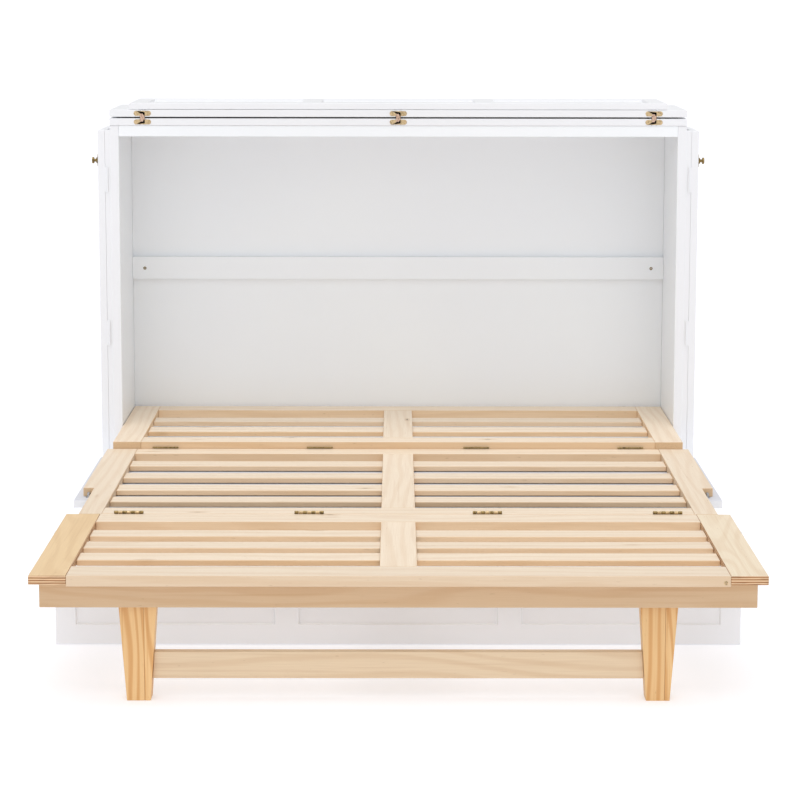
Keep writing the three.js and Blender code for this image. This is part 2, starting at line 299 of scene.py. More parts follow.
def field_share(lines, steps, ease):
    """One inside a field, nothing outside it, and a half cosine between."""
    share = np.zeros(len(lines))
    for start, end in steps.reshape(-1, 2):
        depth = np.clip(np.minimum(lines - start, end - lines) / ease, -1, 1)
        share = np.maximum(share, 0.5 - 0.5 * np.cos((depth + 1) * math.pi / 2))
    return share


def turned(profile, centre, axis, around=24):
    """A turned piece: each point of the profile, a place on the axis and a radius, carried round the axis."""
    profile = np.asarray(profile, float)
    angle = np.linspace(0, 2 * math.pi, around, endpoint=False)
    first, second = CROSS_AXES[axis]
    verts = np.empty((len(profile), around, 3))
    verts[..., axis] = profile[:, 0, None]
    verts[..., first] = profile[:, 1, None] * np.cos(angle)
    verts[..., second] = profile[:, 1, None] * np.sin(angle)
    last = (len(profile) - 1) * around
    caps = [list(range(around))[::-1], list(range(last, last + around))]
    faces = grid_faces(len(profile), around, closed=True) + caps
    return verts.reshape(-1, 3) + np.asarray(centre, float), faces


def knuckle(start, end, radius, centre, axis):
    """One knuckle of a hinge's barrel, or a plain bolt head, with a small chamfer at each end."""
    chamfer = radius * 0.18
    neck = radius - chamfer
    profile = [(start, neck), (start + chamfer, radius), (end - chamfer, radius), (end, neck)]
    return turned(profile, centre, axis, around=20)


def screw_head(centre, axis, outward, radius, rise=0.24):
    """A countersunk screw head with a cross recess.

    Over a polar grid the head is a shallow dome that stands rise times its radius proud. It drops by a little
    more than that wherever a point lies near either arm of the cross and inside two thirds of the radius. The
    rim lies on the face, and one more ring under it, drawn in, closes the head below the face.
    """
    arm_half, arm_reach, drop = 0.13 * radius, 0.62 * radius, 1.08 * rise * radius
    root, root_depth = 0.55, 0.3 * radius
    rings = np.linspace(0.02, 1, 11)[:, None] * radius
    angle = np.linspace(0, 2 * math.pi, 48, endpoint=False)
    a, b = rings * np.cos(angle), rings * np.sin(angle)
    dome = rise * radius * (1 - 2 / 3 * (rings / radius) ** 2)
    cross = (np.minimum(abs(a), abs(b)) < arm_half) & (rings < arm_reach)
    height = dome - drop * cross
    height[-1] = 0
    count, around = len(rings), len(angle)
    first, second = CROSS_AXES[axis]
    verts = np.empty((count + 1, around, 3))
    verts[..., axis] = outward * np.concatenate([height, np.full((1, around), -root_depth)])
    verts[..., first] = np.concatenate([a, root * a[-1:]])
    verts[..., second] = np.concatenate([b, root * b[-1:]])
    cap, under = list(range(around)), list(range(count * around, (count + 1) * around))
    faces = [face[::-1] for face in grid_faces(count + 1, around, closed=True)] + [cap, under[::-1]]
    if outward < 0:
        faces = [face[::-1] for face in faces]
    return verts.reshape(-1, 3) + np.asarray(centre, float), faces


def joined(shells):
    """Several closed shells as one list of points and one of faces."""
    verts, faces, start = [], [], 0
    for shell_verts, shell_faces in shells:
        verts.append(shell_verts)
        faces += [[start + i for i in face] for face in shell_faces]
        start += len(shell_verts)
    return np.concatenate(verts), faces


# ---------------------------------------------------------------- pieces

MERGE_DISTANCE = 0.0001 * MM
SHARP_ANGLE = math.radians(38)
DRAWN_REACH = 20
UNGRAINED_SLOTS = ("white_lacquer", "steel")


def add_piece(name, shells, material, body, nodes=(), smooth=False):
    """Makes one object of closed shells, and says what it rides on, its finish and the nodes it replaces."""
    verts, faces = joined(shells)
    mesh = bpy.data.meshes.new(name)
    mesh.from_pydata(verts.tolist(), [], faces)
    mesh.update()
    tidy = bmesh.new()
    tidy.from_mesh(mesh)
    bmesh.ops.remove_doubles(tidy, verts=tidy.verts, dist=MERGE_DISTANCE)
    bmesh.ops.recalc_face_normals(tidy, faces=tidy.faces)
    tidy.to_mesh(mesh)
    tidy.free()
    if smooth:
        mesh.shade_smooth()
        mesh.set_sharp_from_angle(angle=SHARP_ANGLE)
    mesh.materials.append(material)
    piece = bpy.data.objects.new(name, mesh)
    bpy.context.scene.collection.objects.link(piece)
    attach(piece, body)
    if nodes:
        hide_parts(*nodes)
    return piece


def refinish(piece, axis, towards, name):
    """Gives another finish to the faces that look along axis, towards one side."""
    mesh = piece.data
    mesh.materials.append(finish(name))
    normals = np.empty(len(mesh.polygons) * 3)
    mesh.polygons.foreach_get("normal", normals)
    mesh.polygons.foreach_set("material_index", (normals[axis::3] * towards > 0.5).astype("i"))


def add_grain(piece, along, across, up, tone=None, strips=None):
    """Gives a wooden piece the attributes that its material reads.

    grain holds each point's place with x along the grain, y across it and z through the thickness, moved by
    a draw of its own so that no two pieces show the same stretch of tree. tone makes each piece lighter or
    darker, edge is 1 on faces that look sideways across the grain, and end is 1 on faces that look along it.
    strips, if given, works out a further move and a tone for each point of a piece that is glued up.
    """
    mesh = piece.data
    draw = seeded(piece.name)
    place = points_of(mesh)
    shift = draw.uniform(-DRAWN_REACH, DRAWN_REACH, 3)
    shift[1:] *= 0.2
    grain = place[:, [along, across, up]] + shift
    tones = np.full(len(place), draw.uniform(-1, 1) if tone is None else float(tone))
    if strips is not None:
        extra, tones = strips(place)
        grain = grain + extra
    normals = np.empty(len(mesh.polygons) * 3)
    mesh.polygons.foreach_get("normal", normals)
    normals = abs(normals.reshape(-1, 3))
    for key, kind, domain, values in (
            ("grain", "FLOAT_VECTOR", "POINT", grain),
            ("tone", "FLOAT", "POINT", tones),
            ("edge", "FLOAT", "FACE", (normals[:, across] > 0.7) * 1.0),
            ("end", "FLOAT", "FACE", (normals[:, along] > 0.7) * 1.0)):
        layer = mesh.attributes.new(key, kind, domain)
        layer.data.foreach_set("vector" if kind == "FLOAT_VECTOR" else "value", np.ravel(values).astype("f"))


def board(node, material, slot, ease, low=None, high=None, tone=None):
    """A plain finished board in the place of a node, with its grain along its longest side if it is wood."""
    node_low, node_high = low_high(node)
    low = node_low if low is None else low
    high = node_high if high is None else high
    piece = add_piece(f"{node}_finished", [box_slab(low, high, ease)], material, BODY_OF[node], [node])
    if slot not in UNGRAINED_SLOTS:
        thin, wide, long_ = (int(axis) for axis in np.argsort(high - low))
        add_grain(piece, long_, wide, thin, tone)


# ---------------------------------------------------------------- materials

RGBA = {"data_type": "RGBA"}
FACTOR, FIRST, SECOND, MIXED = 0, 6, 7, 2
SMOOTH = {"interpolation_type": "SMOOTHSTEP"}
BAND_UNIT = 2 * math.pi / 20


def add_node(tree, kind, settings=None, inputs=None):
    """Adds a node. settings are its own properties. An input is a plain value, or an output to link from."""
    made = tree.nodes.new(kind)
    for key, value in (settings or {}).items():
        setattr(made, key, value)
    for key, value in (inputs or {}).items():
        if isinstance(value, bpy.types.NodeSocket):
            tree.links.new(value, made.inputs[key])
        else:
            made.inputs[key].default_value = value
    return made


def new_material(name, roughness, metallic=0.0, ior=1.5, coat=0.0):
    """A material with one Principled shader, and its node tree."""
    material = bpy.data.materials.new(name)
    material.use_nodes = True
    tree = material.node_tree
    shader = tree.nodes["Principled BSDF"]
    shader.inputs["Roughness"].default_value = roughness
    shader.inputs["Metallic"].default_value = metallic
    if not metallic:
        shader.inputs["IOR"].default_value = ior
    shader.inputs["Coat Weight"].default_value = coat
    return material, tree, shader


def shade(rgb, factor):
    """A linear colour made lighter or darker by a factor, with its alpha."""
    return [min(1.0, v * factor) for v in rgb[:3]] + [1.0]


def planed_wood(name, face, edge, figure, figure_colour, ring_mm, wander, knots=False, layers=None):
    """Planed and sealed wood: it gives a pale silky face, warmer sawn edges, streaks, fibres and flecks.

    Growth rings are bands ring_mm apart across the grain, moved sideways by a slow noise times wander, so
    that they run together and apart along the board. Streaks are 9 mm wide and 450 mm long, and flecks 4 mm
    by 26 mm. Fibres are 0.8 mm wide and 90 mm long, about twice as coarse as real ones so that they show.
    """
    material, tree, shader = new_material(name, 0.5, coat=0.06)
    shader.inputs["Coat Roughness"].default_value = 0.35
    grain = add_node(tree, "ShaderNodeAttribute", {"attribute_name": "grain"}).outputs["Vector"]
    tone = add_node(tree, "ShaderNodeAttribute", {"attribute_name": "tone"}).outputs["Fac"]
    side = add_node(tree, "ShaderNodeAttribute", {"attribute_name": "edge"}).outputs["Fac"]
    end = add_node(tree, "ShaderNodeAttribute", {"attribute_name": "end"}).outputs["Fac"]
    warmth = add_node(tree, "ShaderNodeMapRange", inputs={"Value": tone, "From Min": -1.0}).outputs[0]
    base = add_node(tree, "ShaderNodeMix", RGBA, {
        FACTOR: warmth, FIRST: shade(face, 0.96), SECOND: shade(face, 1.04)}).outputs[MIXED]
    between = [(on_face + on_edge) / 2 for on_face, on_edge in zip(face, edge)]
    sawn = add_node(tree, "ShaderNodeMix", RGBA, {
        FACTOR: warmth, FIRST: shade(between, 0.88), SECOND: shade(edge, 1.03)}).outputs[MIXED]
    base = add_node(tree, "ShaderNodeMix", RGBA, {FACTOR: side, FIRST: base, SECOND: sawn}).outputs[MIXED]

    # Rings first, then what lies over them: each layer is a noise stretched along the grain.
    drift = add_node(tree, "ShaderNodeTexNoise", inputs={
        "Vector": add_node(tree, "ShaderNodeVectorMath", {"operation": "MULTIPLY"}, {
            0: grain, 1: (1.1, 6.0, 6.0)}).outputs[0], "Scale": 1.0, "Detail": 2.0}).outputs["Color"]
    rings_per_metre = BAND_UNIT * 1000 / ring_mm
    bent = add_node(tree, "ShaderNodeVectorMath", {"operation": "MULTIPLY"}, {
        0: grain, 1: (0.0, rings_per_metre, rings_per_metre * 0.5)}).outputs[0]
    bent = add_node(tree, "ShaderNodeVectorMath", {"operation": "MULTIPLY_ADD"}, {
        0: drift, 1: (0.0, wander, wander), 2: bent}).outputs[0]
    rings = add_node(tree, "ShaderNodeTexWave", {"wave_type": "BANDS", "bands_direction": "DIAGONAL"}, {
        "Vector": bent, "Scale": 1.0, "Distortion": 0.8, "Detail": 2.0, "Detail Scale": 0.8}).outputs["Fac"]
    ring_share = add_node(tree, "ShaderNodeMapRange", SMOOTH, {
        "Value": rings, "From Min": 0.35, "To Max": 0.5 * figure}).outputs[0]
    base = add_node(tree, "ShaderNodeMix", RGBA, {
        FACTOR: ring_share, FIRST: base, SECOND: shade(figure_colour, 1.0)}).outputs[MIXED]
    fibres = None
    for stretch, low, high, strength, darkness in (
            ((2.2, 110.0, 110.0), 0.52, 0.80, 0.75 * figure, 0.95),
            ((11.0, 1250.0, 1250.0), 0.30, 0.70, 0.16, 0.85),
            ((38.0, 260.0, 260.0), 0.69, 0.76, 0.4, 0.6)):
        place = add_node(tree, "ShaderNodeVectorMath", {"operation": "MULTIPLY"}, {
            0: grain, 1: stretch}).outputs[0]
        layer = add_node(tree, "ShaderNodeTexNoise", inputs={
            "Vector": place, "Scale": 1.0, "Detail": 3.0}).outputs[0]
        share = add_node(tree, "ShaderNodeMapRange", SMOOTH, {
            "Value": layer, "From Min": low, "From Max": high, "To Max": strength}).outputs[0]
        base = add_node(tree, "ShaderNodeMix", RGBA, {
            FACTOR: share, FIRST: base, SECOND: shade(figure_colour, darkness)}).outputs[MIXED]
        fibres = fibres or layer

    if knots:
        # Pin knots about 6 mm across the grain and 20 mm along it, with a paler ring of resin round them, one
        # to each 77 mm by 280 mm of face at the most.
        place = add_node(tree, "ShaderNodeVectorMath", {"operation": "MULTIPLY"}, {
            0: grain, 1: (3.6, 13.0, 3.0)}).outputs[0]
        away = add_node(tree, "ShaderNodeTexVoronoi", inputs={
            "Vector": place, "Scale": 1.0}).outputs["Distance"]
        for low, high, strength, darkness in ((0.05, 0.13, 0.35, 0.8), (0.02, 0.045, 0.85, 0.3)):
            share = add_node(tree, "ShaderNodeMapRange", SMOOTH, {
                "Value": away, "From Min": low, "From Max": high,
                "To Min": strength, "To Max": 0.0}).outputs[0]
            base = add_node(tree, "ShaderNodeMix", RGBA, {
                FACTOR: share, FIRST: base, SECOND: shade(figure_colour, darkness)}).outputs[MIXED]

    # The cut ends show pores 2 mm apart, coarser than real ones so that they show.
    place = add_node(tree, "ShaderNodeVectorMath", {"operation": "MULTIPLY"}, {
        0: grain, 1: (60.0, 500.0, 500.0)}).outputs[0]
    pores = add_node(tree, "ShaderNodeTexNoise", inputs={
        "Vector": place, "Scale": 1.0, "Detail": 2.0}).outputs[0]
    cut_end = add_node(tree, "ShaderNodeMix", RGBA, {
        FACTOR: pores, FIRST: shade(edge, 0.98), SECOND: shade(edge, 0.62)}).outputs[MIXED]
    base = add_node(tree, "ShaderNodeMix", RGBA, {FACTOR: end, FIRST: base, SECOND: cut_end}).outputs[MIXED]
    if layers is not None:
        base = plywood_layers(tree, grain, side, end, base, edge, layers)
    tree.links.new(base, shader.inputs["Base Color"])
    bump = add_node(tree, "ShaderNodeBump", inputs={"Height": fibres, "Strength": 0.25, "Distance": 0.0003})
    tree.links.new(bump.outputs["Normal"], shader.inputs["Normal"])
    return material


def plywood_layers(tree, grain, side, end, base, pale, dark):
    """Bare plywood edges: pale and dark layers by turns, one pair every 5.6 mm, on the edge and end faces.

    Darker patches 2.4 mm thick and 40 mm long lie over them, where the saw has burnt the glue.
    """
    pairs_per_metre = BAND_UNIT * 1000 / 5.6
    place = add_node(tree, "ShaderNodeVectorMath", {"operation": "MULTIPLY"}, {
        0: grain, 1: (6.0, 6.0, pairs_per_metre)}).outputs[0]
    wave = add_node(tree, "ShaderNodeTexWave", {"wave_type": "BANDS", "bands_direction": "Z"}, {
        "Vector": place, "Scale": 1.0, "Distortion": 0.6, "Detail": 1.0}).outputs["Fac"]
    place = add_node(tree, "ShaderNodeVectorMath", {"operation": "MULTIPLY"}, {
        0: grain, 1: (25.0, 25.0, 420.0)}).outputs[0]
    patchy = add_node(tree, "ShaderNodeTexNoise", inputs={
        "Vector": place, "Scale": 1.0, "Detail": 2.0}).outputs[0]
    turns = add_node(tree, "ShaderNodeMapRange", SMOOTH, {
        "Value": wave, "From Min": 0.25, "From Max": 0.75}).outputs[0]
    plies = add_node(tree, "ShaderNodeMix", RGBA, {
        FACTOR: turns, FIRST: shade(dark, 1.0), SECOND: shade(pale, 0.95)}).outputs[MIXED]
    dark_share = add_node(tree, "ShaderNodeMapRange", SMOOTH, {
        "Value": patchy, "From Min": 0.45, "From Max": 0.75, "To Max": 0.7}).outputs[0]
    plies = add_node(tree, "ShaderNodeMix", RGBA, {
        FACTOR: dark_share, FIRST: plies, SECOND: shade(dark, 0.5)}).outputs[MIXED]
    seen = add_node(tree, "ShaderNodeMath", {"operation": "MAXIMUM"}, {0: side, 1: end}).outputs[0]
    return add_node(tree, "ShaderNodeMix", RGBA, {FACTOR: seen, FIRST: base, SECOND: plies}).outputs[MIXED]


def white_lacquer(name, tint):
    """Sprayed lacquer on fibreboard: it gives an even cool white, with a faint orange peel 3 mm across."""
    material, tree, shader = new_material(name, 0.38, ior=1.48)
    place = add_node(tree, "ShaderNodeTexCoord").outputs["Object"]
    cloud = add_node(tree, "ShaderNodeTexNoise", inputs={
        "Vector": place, "Scale": 3.0, "Detail": 2.0}).outputs[0]
    base = add_node(tree, "ShaderNodeMix", RGBA, {
        FACTOR: cloud, FIRST: shade(tint, 0.97), SECOND: shade(tint, 1.02)}).outputs[MIXED]
    tree.links.new(base, shader.inputs["Base Color"])
    peel = add_node(tree, "ShaderNodeTexNoise", inputs={
        "Vector": place, "Scale": 330.0, "Detail": 1.0}).outputs[0]
    bump = add_node(tree, "ShaderNodeBump", inputs={"Height": peel, "Strength": 0.12, "Distance": 0.0002})
    tree.links.new(bump.outputs["Normal"], shader.inputs["Normal"])
    gloss = add_node(tree, "ShaderNodeMapRange", SMOOTH, {
        "Value": cloud, "From Min": 0.2, "From Max": 0.8, "To Min": 0.34, "To Max": 0.44})
    tree.links.new(gloss.outputs[0], shader.inputs["Roughness"])
    return material


def aged_metal(name, tint, dark, roughness):
    """Plated or lacquered metal that has aged: it gives darker, duller patches about 4 mm across."""
    material, tree, shader = new_material(name, roughness, metallic=1.0)
    place = add_node(tree, "ShaderNodeTexCoord").outputs["Object"]
    patches = add_node(tree, "ShaderNodeTexNoise", inputs={
        "Vector": place, "Scale": 260.0, "Detail": 4.0, "Roughness": 0.65}).outputs[0]
    share = add_node(tree, "ShaderNodeMapRange", SMOOTH, {
        "Value": patches, "From Min": 0.42, "From Max": 0.7}).outputs[0]
    base = add_node(tree, "ShaderNodeMix", RGBA, {
        FACTOR: share, FIRST: shade(tint, 1.05), SECOND: shade(tint, dark)}).outputs[MIXED]
    tree.links.new(base, shader.inputs["Base Color"])
    dull = add_node(tree, "ShaderNodeMapRange", SMOOTH, {
        "Value": patches, "From Min": 0.35, "From Max": 0.75,
        "To Min": roughness - 0.06, "To Max": roughness + 0.2})
    tree.links.new(dull.outputs[0], shader.inputs["Roughness"])
    bump = add_node(tree, "ShaderNodeBump", inputs={"Height": patches, "Strength": 0.2, "Distance": 0.0001})
    tree.links.new(bump.outputs["Normal"], shader.inputs["Normal"])
    return material


def plain_rubber(name, tint):
    """Moulded grey rubber: it looks matt and soft, with a fine grain about half a millimetre across."""
    material, tree, shader = new_material(name, 0.75, ior=1.52)
    place = add_node(tree, "ShaderNodeTexCoord").outputs["Object"]
    grit = add_node(tree, "ShaderNodeTexNoise", inputs={
        "Vector": place, "Scale": 1800.0, "Detail": 2.0}).outputs[0]
    base = add_node(tree, "ShaderNodeMix", RGBA, {
        FACTOR: grit, FIRST: shade(tint, 0.85), SECOND: shade(tint, 1.15)}).outputs[MIXED]
    tree.links.new(base, shader.inputs["Base Color"])
    bump = add_node(tree, "ShaderNodeBump", inputs={"Height": grit, "Strength": 0.3, "Distance": 0.0002})
    tree.links.new(bump.outputs["Normal"], shader.inputs["Normal"])
    return material


def studio_paper(name, tint, glow):
    """Seamless paper lit from behind: matt white with a very faint tooth, bright enough to burn out."""
    material, tree, shader = new_material(name, 0.9)
    shader.inputs["Specular IOR Level"].default_value = 0.1
    shader.inputs["Emission Color"].default_value = (1, 1, 1, 1)
    shader.inputs["Emission Strength"].default_value = glow
    place = add_node(tree, "ShaderNodeTexCoord").outputs["Object"]
    tooth = add_node(tree, "ShaderNodeTexNoise", inputs={
        "Vector": place, "Scale": 40.0, "Detail": 2.0}).outputs[0]
    base = add_node(tree, "ShaderNodeMix", RGBA, {
        FACTOR: tooth, FIRST: shade(tint, 0.99), SECOND: shade(tint, 1.0)}).outputs[MIXED]
    tree.links.new(base, shader.inputs["Base Color"])
    return material


def finish(name):
    """The finish of that name, made the first time it is asked for."""
    if name in bpy.data.materials:
        return bpy.data.materials[name]
    c = bpy.context.scene.wall_bed_colours
    sheet = {"ring_mm": 34, "wander": 4.0, "layers": c.ply_edge}
    makers = {
        "white_lacquer_on_fibreboard": lambda: white_lacquer(name, c.lacquer),
        "planed_pine": lambda: planed_wood(
            name, c.pine, c.pine_edge, 0.3, c.pine_figure, ring_mm=16, wander=2.2, knots=True),
        "birch_plywood": lambda: planed_wood(name, c.plywood, c.pine_edge, 0.32, c.pine_figure, **sheet),
        "pale_birch_plywood": lambda: planed_wood(
            name, c.pale_plywood, c.pine_edge, 0.32, c.pine_figure, **sheet),
        "planed_maple": lambda: planed_wood(
            name, c.maple, c.maple, 0.45, c.maple_figure, ring_mm=20, wander=2.6),
        # Painted shade: the apron's finish is a darkened maple for the shadow under the foot rail.
        "planed_birch": lambda: planed_wood(
            name, c.apron_shade_tint, c.apron_shade_tint, 0.6, c.maple_figure, ring_mm=28, wander=3.0),
        "laminated_pine": lambda: planed_wood(
            name, c.leg_pine, c.leg_pine, 1.25, c.leg_figure, ring_mm=11, wander=3.8),
        # The inner lacquer is painted light: a brighter, cooler copy of the white lacquer for the cabinet's
        # shaded inside.
        "matt_lacquer_on_fibreboard": lambda: white_lacquer(name, c.painted_light_tint),
        # A greyer copy of the white lacquer for the deck panel's upper face.
        "grey_primer": lambda: white_lacquer(name, c.upper_grey_tint),
        "satin_brass": lambda: aged_metal(name, c.brass, 0.55, 0.42),
        "antique_brass": lambda: aged_metal(name, c.old_brass, 0.22, 0.36),
        "copper_plated_steel": lambda: aged_metal(name, c.copper, 0.5, 0.4),
        "zinc_plated_steel": lambda: aged_metal(name, c.steel, 0.6, 0.3),
        "grey_rubber": lambda: plain_rubber(name, c.rubber),
        "studio_paper": lambda: studio_paper(name, c.floor, glow=0.38),
    }
    return makers[name]()


# ---------------------------------------------------------------- operators

class WALLBED_OT_cabinet(bpy.types.Operator):
    """The cabinet's sides, back, wall rail and top, and the bearers under the deck"""
    bl_idname = "wall_bed.cabinet"
    bl_label = "Cabinet"

    def execute(self, context):
        sizes = context.scene.wall_bed_sizes
        lacquer = finish("white_lacquer_on_fibreboard")
        for name in ("back_panel", "back_rail", "top_rail", "base_bearer_left", "base_bearer_right"):
            # Painted light: the back, the rails and the bearers take the brighter inner lacquer, which lifts
            # the shade inside the cabinet.
            board(name, finish("matt_lacquer_on_fibreboard"), "white_lacquer", 0.4 * MM)
        for word, side in SIDES:
            battened_side(word, side, lacquer, sizes)
        for name in ("fixed_top", "top_flap"):
            mortised_lid(name, lacquer, sizes)
        return {"FINISHED"}


def battened_side(word, side, material, sizes):
    """A side board, and the batten that is lapped and glued outside it and carries the door's hinges."""
    node = f"side_{word}"
    low, high = low_high(node)
    outer = low_high("fixed_top")[1][0]
    place = points_of(frame["nodes"][node].data)
    proud = place[place[:, 0] * side > outer + 1 * MM]
    board_low, board_high = low.copy(), high.copy()
    (board_high if side > 0 else board_low)[0] = side * outer
    batten_low, batten_high = proud.min(0), proud.max(0)
    lap, rise = 1 * MM, 0.8 * MM
    (batten_low if side > 0 else batten_high)[0] = side * (outer - lap)
    (batten_high if side > 0 else batten_low)[0] += side * rise
    shells = [box_slab(board_low, board_high, sizes.lacquer_ease), box_slab(batten_low, batten_high, rise)]
    piece = add_piece(f"{node}_finished", shells, material, "cabinet", [node])
    # Painted light: the side's inner face takes the brighter inner lacquer, which lifts the shade inside the
    # cabinet.
    refinish(piece, X, -side, "matt_lacquer_on_fibreboard")


def mortised_lid(node, material, sizes):
    """The fixed top or the lid: a board whose front edge has a mortise for each hinge's turning link.

    The mortises are first cut right through the board, and each is then closed by a thin floor that lies just
    past the reach of the link's swing.
    """
    low, high = low_high(node)
    link_low, link_high = low_high(f"flip_hinge_link_{LID_HINGES[0]}")
    pin = JOINTS["flap_fold"]["pos_m"]
    half = (link_high[0] - link_low[0]) / 2 + 0.4 * MM
    swing = (link_high[2] - link_low[2]) / 2
    reach = pin[1] + swing + 0.6 * MM
    swing += 1 * MM
    bottom, top = (low[2], pin[2] - swing) if low[2] < pin[2] else (pin[2] + swing, high[2])
    outline, floors = [(low[0], low[1])], []
    for i in LID_HINGES:
        centre = sum(corner[0] for corner in low_high(f"flip_hinge_link_{i}")) / 2
        x0, x1 = centre - half, centre + half
        outline += [(x0, low[1]), (x0, reach), (x1, reach), (x1, low[1])]
        floors.append(box_slab(np.array([x0, low[1], bottom]), np.array([x1, reach, top]), 0.1 * MM))
    outline += [(high[0], low[1]), (high[0], high[1]), (low[0], high[1])]
    shells = [slab(outline, low[2], high[2], sizes.lacquer_ease, Z), *floors]
    add_piece(f"{node}_finished", shells, material, BODY_OF[node], [node])


class WALLBED_OT_panels(bpy.types.Operator):
    """The three framed panels that close the cabinet's front: drawer front, deck panel and drop panel"""
    bl_idname = "wall_bed.panels"
    bl_label = "Framed panels"

    def execute(self, context):
        sizes = context.scene.wall_bed_sizes
        lacquer = finish("white_lacquer_on_fibreboard")
        for node, axis, outward in (("drawer_front", Y, -1), ("face_panel", Z, -1), ("drop_panel", Z, 1)):
            shell = framed_panel(*low_high(node), axis, outward, sizes)
            piece = add_piece(f"{node}_finished", [shell], lacquer, BODY_OF[node], [node])
            # The deck panel's upward faces take the greyer lacquer.
            if node == "face_panel":
                refinish(piece, axis, -outward, "grey_primer")
        return {"FINISHED"}


class WALLBED_OT_doors(bpy.types.Operator):
    """The two side doors, folded back against the cabinet's sides"""
    bl_idname = "wall_bed.doors"
    bl_label = "Side doors"

    def execute(self, context):
        sizes = context.scene.wall_bed_sizes
        for word, _ in SIDES:
            board(f"door_{word}", finish("white_lacquer_on_fibreboard"), "white_lacquer", sizes.lacquer_ease)
        return {"FINISHED"}


DECK_CLEAR = 0.3 * MM
SAME_PLACE = 0.1 * MM


class WALLBED_OT_deck(bpy.types.Operator):
    """The rails, side boards, centre boards and slats of the three deck sections, and the apron"""
    bl_idname = "wall_bed.deck"
    bl_label = "Slatted deck"

    def execute(self, context):
        sizes = context.scene.wall_bed_sizes
        pine = finish("planed_pine")
        rails = ["rear_head_rail", "rear_joint_rail", "middle_rear_rail", "middle_front_rail",
                 "front_joint_rail", "foot_rail", "rear_side_board_left", "rear_side_board_right"]
        for name in rails:
            board(name, pine, "pine", sizes.wood_ease, tone=-1 if name == "foot_rail" else None)
        for word, side in SIDES:
            stepped_board(f"middle_side_board_{word}", side, pine, sizes)
            sheet = finish("birch_plywood" if side < 0 else "pale_birch_plywood")
            board(f"wing_board_{word}", sheet, "plywood", sizes.wood_ease, tone=0)
        for prefix, count, beside in (
                ("rear", 2, "rear_side_board_right"),
                ("middle", 4, "middle_side_board_right"),
                ("front", 3, "wing_board_right")):
            slats = [f"{prefix}_slat_{i + 1}" for i in range(count)]
            notched_board(f"{prefix}_centre_board", slats, pine, sizes)
            reach = low_high(beside)[0][0] - DECK_CLEAR
            for slat in slats:
                low, high = low_high(slat)
                low[0], high[0] = -reach, reach
                board(slat, pine, "pine", sizes.slat_ease, low=low, high=high)
        # Painted shade: the apron takes a darkened maple for the shadow under the foot rail.
        board("apron", finish("planed_birch"), "maple", sizes.wood_ease)
        return {"FINISHED"}


def stepped_board(node, side, material, sizes):
    """A side board of the middle section, narrower towards the foot from the step that the frame gives."""
    low, high = low_high(node)
    step_y, narrow = step_of(node, side)
    outer, inner = (high[0], low[0]) if side > 0 else (low[0], high[0])
    outline = [(inner, low[1]), (narrow, low[1]), (narrow, step_y),
               (outer, step_y), (outer, high[1]), (inner, high[1])]
    shell = slab(outline, low[2], high[2], sizes.wood_ease, Z)
    piece = add_piece(f"{node}_finished", [shell], material, BODY_OF[node], [node])
    add_grain(piece, Y, X, Z)


def step_of(node, side):
    """Where a stepped side board gets narrower, and how far out its narrow part reaches, from its mesh."""
    place = points_of(frame["nodes"][node].data)
    foot = place[place[:, 1] < place[:, 1].min() + SAME_PLACE]
    narrow = (foot[:, 0] * side).max()
    wide = place[place[:, 0] * side > narrow + 5 * MM]
    return wide[:, 1].min(), narrow * side


def notched_board(node, slats, material, sizes):
    """A centre board that lies over the slats of its section, notched from below for each."""
    low, high = low_high(node)
    outline = [(low[1], low[2])]
    for slat in reversed(slats):
        slat_low, slat_high = low_high(slat)
        y0, y1, roof = slat_low[1] - DECK_CLEAR, slat_high[1] + DECK_CLEAR, slat_high[2] + DECK_CLEAR
        outline += [(y0, low[2]), (y0, roof), (y1, roof), (y1, low[2])]
    outline += [(high[1], low[2]), (high[1], high[2]), (low[1], high[2])]
    shell = slab(outline, low[0], high[0], sizes.wood_ease, X)
    piece = add_piece(f"{node}_finished", [shell], material, BODY_OF[node], [node])
    add_grain(piece, Y, X, Z)


class WALLBED_OT_legs(bpy.types.Operator):
    """The two tapered legs, each glued up from two strips, and the stretcher between them"""
    bl_idname = "wall_bed.legs"
    bl_label = "Leg frame"

    def execute(self, context):
        sizes = context.scene.wall_bed_sizes
        for word, side in SIDES:
            laminated_leg(f"leg_{word}", side, sizes)
        low, high = low_high("stretcher")
        lean = stretcher_lean()
        outline = [(low[2], low[0]), (low[2], high[0]), (high[2], high[0] - lean), (high[2], low[0] + lean)]
        shell = slab(outline, low[1], high[1], sizes.wood_ease, Y)
        maple = finish("planed_maple")
        piece = add_piece("stretcher_finished", [shell], maple, "legs", ["stretcher"])
        add_grain(piece, X, Z, Y)
        return {"FINISHED"}


def stretcher_lean():
    """How much shorter the stretcher is along its top than along its bottom, at each end."""
    place = points_of(frame["nodes"]["stretcher"].data)
    top = place[place[:, 2] > place[:, 2].max() - SAME_PLACE]
    return place[:, 0].max() - top[:, 0].max()


